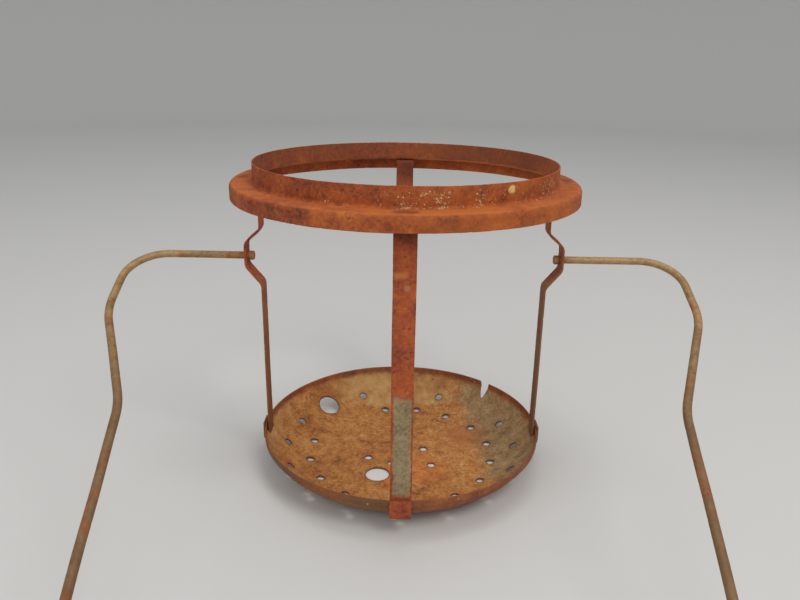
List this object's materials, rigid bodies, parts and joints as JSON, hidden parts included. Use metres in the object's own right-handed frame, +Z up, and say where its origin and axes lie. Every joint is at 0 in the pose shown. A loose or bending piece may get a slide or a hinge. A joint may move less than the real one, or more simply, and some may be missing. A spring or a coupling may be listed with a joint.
{
  "type": "camp stove",
  "caption": "Open camp stove: a perforated, dished fuel pan hung on flat straps under a flanged pot ring, with a bent wire bail that swings over it.",
  "frame": {"origin": "middle of the fuel pan's underside, on the surface that the stove stands on", "axes": "+Z up through the middle of the pot ring; +X along the bail's pivot line, to the right seen from the front; -Y to the front, where the bail lies down"},
  "size_m": [0.3568, 0.4297, 0.2075],
  "materials": {
    "ring_sheet": "pressed steel sheet under a coat of red-brown rust",
    "pan_sheet": "steel sheet with orange and tan rust, and worn bare patches",
    "strap_strip": "flat steel strip, rusted, with a worn grey stretch low down",
    "bail_wire": "dull zinc-coated wire with patches of rust"
  },
  "bodies": {
    "stand": {"pot_ring": "ring_sheet", "fuel_pan": "pan_sheet", "front_strap": "strap_strip", "back_strap": "strap_strip", "left_strap": "strap_strip", "right_strap": "strap_strip"},
    "bail": {"bail_handle": "bail_wire"}
  },
  "joints": [
    {"name": "bail_swing", "type": "hinge", "parent": "stand", "child": "bail", "pos_m": [0, 0, 0.1447], "axis": [-1, 0, 0], "range_deg": [0, 227.9]}
  ]
}
